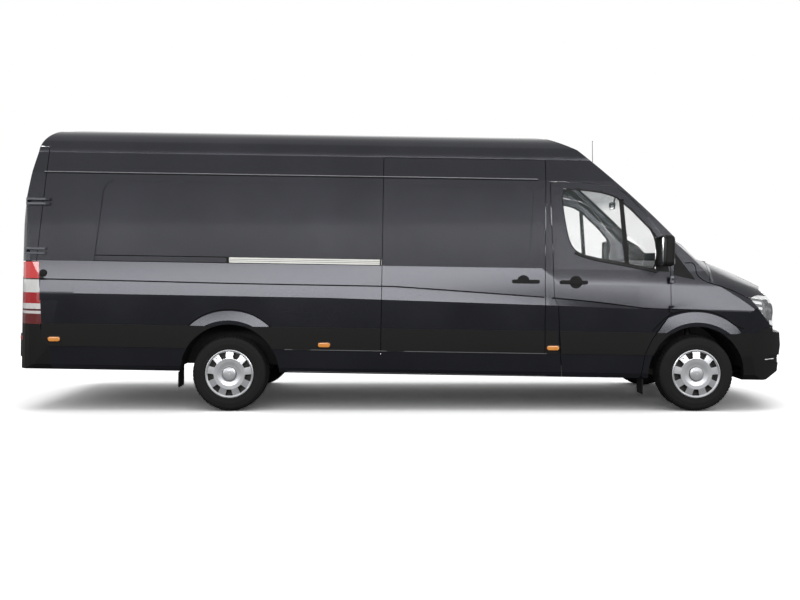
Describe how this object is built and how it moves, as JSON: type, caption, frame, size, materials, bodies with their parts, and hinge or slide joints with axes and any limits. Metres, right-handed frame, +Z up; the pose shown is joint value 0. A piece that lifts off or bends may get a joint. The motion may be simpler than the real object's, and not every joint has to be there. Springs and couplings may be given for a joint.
{
  "type": "high-roof panel van",
  "caption": "Long high-roof panel van with a hollow cab and load space, opening cab doors, rear doors and bonnet, a fixed sliding side door, steered front wheels and free-turning wheels",
  "frame": {"origin": "middle of the van's length and width, at ground level under the tyres", "axes": "+X towards the nose, +Y towards the van's left side, +Z up"},
  "size_m": [7.3536, 2.41, 2.7094],
  "materials": {
    "body_paint": "dark blue-grey metallic with a clear coat",
    "black_plastic": "grained black plastic",
    "tyre": "black rubber",
    "wheel_silver": "silver paint, satin",
    "glass": "clear, faint green-blue",
    "clear_lens": "clear lamp lens",
    "red_lens": "red lamp lens",
    "amber_lens": "orange lamp lens",
    "rail_aluminium": "satin",
    "seat_fabric": "dark grey cloth",
    "rubber": "black rubber",
    "floor_paint": "satin dark grey",
    "cast_iron": "dark casting",
    "chassis_steel": "satin black"
  },
  "bodies": {
    "body": {"cab_floor": "floor_paint", "cab_frame": "body_paint", "chassis_frame": "chassis_steel", "dashboard": "black_plastic", "drive_shaft": "chassis_steel", "driver_seat": "seat_fabric", "engine_block": "cast_iron", "front_bumper": "black_plastic", "front_fenders": "body_paint", "fuel_tank": "chassis_steel", "grille": "black_plastic", "headlamps": "clear_lens", "leaf_springs": "chassis_steel", "load_floor": "floor_paint", "mud_flaps": "rubber", "passenger_seats": "seat_fabric", "rear_axle": "chassis_steel", "rear_bumper": "black_plastic", "roof": "body_paint", "side_markers": "amber_lens", "side_mouldings": "black_plastic", "side_wall_left": "body_paint", "side_wall_right": "body_paint", "slide_rail": "rail_aluminium", "sliding_door": "body_paint", "steering_wheel": "black_plastic", "tail_lamps": "red_lens", "wheel_housings": "black_plastic", "windscreen": "glass"},
    "front_door_right": {"front_door_right": "body_paint", "door_glass_right": "glass", "door_trim_right": "black_plastic"},
    "front_door_left": {"front_door_left": "body_paint", "door_glass_left": "glass", "door_trim_left": "black_plastic"},
    "rear_door_right": {"rear_door_right": "body_paint"},
    "rear_door_left": {"rear_door_left": "body_paint"},
    "bonnet": {"bonnet": "body_paint"},
    "knuckle_right": {"knuckle_right": "chassis_steel"},
    "knuckle_left": {"knuckle_left": "chassis_steel"},
    "wheel_front_right": {"wheel_front_right": "wheel_silver", "tyre_front_right": "tyre"},
    "wheel_front_left": {"wheel_front_left": "wheel_silver", "tyre_front_left": "tyre"},
    "wheel_rear_right": {"wheel_rear_right": "wheel_silver", "tyre_rear_right": "tyre"},
    "wheel_rear_left": {"wheel_rear_left": "wheel_silver", "tyre_rear_left": "tyre"}
  },
  "joints": [
    {"name": "steer_right", "type": "hinge", "parent": "body", "child": "knuckle_right", "pos_m": [2.66296, -0.8, 0.23474], "axis": [0.0154, 0.1955, 0.9806], "range_deg": [-35, 35]},
    {"name": "steer_left", "type": "hinge", "parent": "body", "child": "knuckle_left", "pos_m": [2.66296, 0.8, 0.23474], "axis": [0.0154, -0.1955, 0.9806], "range_deg": [-35, 35]},
    {"name": "spin_front_right", "type": "hinge", "parent": "knuckle_right", "child": "wheel_front_right", "pos_m": [2.66474, -0.8565, 0.348], "axis": [0, 1, 0], "continuous": true},
    {"name": "spin_front_left", "type": "hinge", "parent": "knuckle_left", "child": "wheel_front_left", "pos_m": [2.66474, 0.8565, 0.348], "axis": [0, 1, 0], "continuous": true},
    {"name": "spin_rear_right", "type": "hinge", "parent": "body", "child": "wheel_rear_right", "pos_m": [-1.66079, -0.8565, 0.348], "axis": [0, 1, 0], "continuous": true},
    {"name": "spin_rear_left", "type": "hinge", "parent": "body", "child": "wheel_rear_left", "pos_m": [-1.66079, 0.8565, 0.348], "axis": [0, 1, 0], "continuous": true},
    {"name": "front_door_right_hinge", "type": "hinge", "parent": "body", "child": "front_door_right", "pos_m": [2.41801, -0.99, 0.87667], "axis": [0.0157, 0, 0.9999], "range_deg": [0, 70]},
    {"name": "front_door_left_hinge", "type": "hinge", "parent": "body", "child": "front_door_left", "pos_m": [2.41801, 0.99, 0.87667], "axis": [-0.0157, 0, -0.9999], "range_deg": [0, 70]},
    {"name": "rear_door_right_hinge", "type": "hinge", "parent": "body", "child": "rear_door_right", "pos_m": [-3.54247, -0.957, 1.72039], "axis": [0.0157, 0, 0.9999], "range_deg": [0, 180]},
    {"name": "rear_door_left_hinge", "type": "hinge", "parent": "body", "child": "rear_door_left", "pos_m": [-3.54247, 0.957, 1.72039], "axis": [-0.0157, 0, -0.9999], "range_deg": [0, 180]},
    {"name": "bonnet_hinge", "type": "hinge", "parent": "body", "child": "bonnet", "pos_m": [2.82049, 0, 1.41341], "axis": [0, -1, 0], "range_deg": [0, 60]}
  ],
  "couplings": [
    {"joint": "steer_left", "follows": "steer_right", "ratio": 1}
  ]
}
